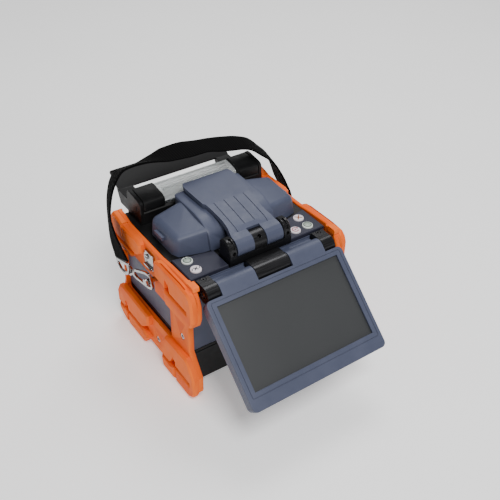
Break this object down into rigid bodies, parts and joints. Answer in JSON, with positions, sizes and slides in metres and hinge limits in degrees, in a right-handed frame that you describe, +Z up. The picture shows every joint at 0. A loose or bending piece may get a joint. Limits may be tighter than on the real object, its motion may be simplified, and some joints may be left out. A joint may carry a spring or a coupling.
{
  "type": "fiber fusion splicer",
  "caption": "Portable fiber fusion splicer: tilting display on a front hinge, hinged wind cover over the splicing stage, tube heater behind it, rubber side bumpers and a carrying strap.",
  "frame": {"origin": "middle of the foot pad under the base tray, on the ground plane", "axes": "+X to the operator's right, +Y away from the operator, +Z up"},
  "size_m": [0.1746, 0.2238, 0.158],
  "materials": {
    "slate_case": "satin slate blue-grey plastic",
    "black_plastic": "matte black plastic",
    "black_anodised": "black anodised, satin",
    "orange_rubber": "matte orange rubber",
    "chromed_hardware": "polished",
    "steel_pins": "ground steel",
    "display": "dark display glass behind an anti-glare film",
    "button_white": null,
    "ceramic": "white ceramic",
    "heater_metal": "bare aluminium",
    "clear_window": "frosted clear plastic",
    "webbing": "black woven nylon webbing"
  },
  "bodies": {
    "chassis": {"base_tray": "black_plastic", "main_case": "slate_case", "deck_plate": "black_plastic", "keypad_left": "slate_case", "keypad_right": "slate_case", "bumper_left": "orange_rubber", "bumper_right": "orange_rubber", "bumper_screw_left_lower": "chromed_hardware", "bumper_screw_left_front": "chromed_hardware", "bumper_screw_right_lower": "chromed_hardware", "bumper_screw_right_front": "chromed_hardware", "hinge_mount_left": "black_anodised", "hinge_mount_right": "black_anodised", "hinge_mount_centre": "black_anodised", "monitor_shaft": "steel_pins", "cover_hinge_base": "black_anodised", "cover_hinge_pin": "steel_pins", "stage_block": "black_anodised", "vgroove_left": "ceramic", "vgroove_right": "ceramic", "sheath_clamp_base_left": "black_anodised", "sheath_clamp_base_right": "black_anodised", "electrode_front": "steel_pins", "electrode_back": "steel_pins", "objective_pair": "black_anodised", "heater_base": "black_plastic", "heater_plate": "heater_metal", "heater_pin": "steel_pins", "tray_bracket": "black_plastic", "tray_pin": "steel_pins", "port_panel": "black_plastic", "strap_stud_left": "chromed_hardware", "strap_stud_right": "chromed_hardware", "strap_plate_left": "chromed_hardware", "strap_plate_right": "chromed_hardware"},
    "battery": {"battery_pack": "black_plastic"},
    "monitor": {"monitor_front": "slate_case", "monitor_rear": "slate_case", "monitor_display": "display"},
    "wind_cover": {"cover_lid": "slate_case", "cover_shell": "slate_case", "fibre_clamp_left": "black_plastic", "fibre_clamp_right": "black_plastic"},
    "heater_lid": {"heater_cap_left": "black_plastic", "heater_cap_right": "black_plastic", "heater_window": "clear_window"},
    "cooling_tray_body": {"cooling_tray": "black_plastic"},
    "clamp_lid_left": {"sheath_clamp_lid_left": "black_anodised"},
    "clamp_lid_right": {"sheath_clamp_lid_right": "black_anodised"},
    "power_button": {"button_power": "button_white"},
    "menu_button": {"button_menu": "button_white"},
    "cancel_button": {"button_cancel": "button_white"},
    "confirm_button": {"button_confirm": "button_white"},
    "reset_button": {"button_reset": "button_white"},
    "carrying_strap": {"strap": "webbing", "snap_hook_left": "chromed_hardware", "snap_hook_right": "chromed_hardware", "d_ring_left": "chromed_hardware", "d_ring_right": "chromed_hardware"}
  },
  "joints": [
    {"name": "battery_slide", "type": "slide", "parent": "chassis", "child": "battery", "axis": [0, 1, 0], "range_m": [0, 0.08]},
    {"name": "monitor_hinge", "type": "hinge", "parent": "chassis", "child": "monitor", "pos_m": [0, -0.063, 0.1005], "axis": [-1, 0, 0], "range_deg": [-48, 41.7]},
    {"name": "wind_cover_hinge", "type": "hinge", "parent": "chassis", "child": "wind_cover", "pos_m": [0, -0.044, 0.1155], "axis": [1, 0, 0], "range_deg": [0, 95]},
    {"name": "heater_lid_hinge", "type": "hinge", "parent": "chassis", "child": "heater_lid", "pos_m": [0, 0.047, 0.1194], "axis": [-1, 0, 0], "range_deg": [0, 80]},
    {"name": "cooling_tray_hinge", "type": "hinge", "parent": "chassis", "child": "cooling_tray_body", "pos_m": [0, 0.0576, 0.107], "axis": [1, 0, 0], "range_deg": [-90, 0]},
    {"name": "clamp_lid_left_hinge", "type": "hinge", "parent": "chassis", "child": "clamp_lid_left", "pos_m": [-0.02, 0.005, 0.1129], "axis": [-1, 0, 0], "range_deg": [0, 55]},
    {"name": "clamp_lid_right_hinge", "type": "hinge", "parent": "chassis", "child": "clamp_lid_right", "pos_m": [0.02, 0.005, 0.1129], "axis": [-1, 0, 0], "range_deg": [0, 55]},
    {"name": "strap_hinge", "type": "hinge", "parent": "chassis", "child": "carrying_strap", "pos_m": [0, -0.009, 0.083], "axis": [-1, 0, 0], "range_deg": [-80, 0]},
    {"name": "power_button_press", "type": "slide", "parent": "chassis", "child": "power_button", "axis": [0, 0, -1], "range_m": [0, 0.0008], "stiffness_N_per_m": 600},
    {"name": "menu_button_press", "type": "slide", "parent": "chassis", "child": "menu_button", "axis": [0, 0, -1], "range_m": [0, 0.0008], "stiffness_N_per_m": 600},
    {"name": "cancel_button_press", "type": "slide", "parent": "chassis", "child": "cancel_button", "axis": [0, 0, -1], "range_m": [0, 0.0008], "stiffness_N_per_m": 600},
    {"name": "confirm_button_press", "type": "slide", "parent": "chassis", "child": "confirm_button", "axis": [0, 0, -1], "range_m": [0, 0.0008], "stiffness_N_per_m": 600},
    {"name": "reset_button_press", "type": "slide", "parent": "chassis", "child": "reset_button", "axis": [0, 0, -1], "range_m": [0, 0.0008], "stiffness_N_per_m": 600}
  ]
}
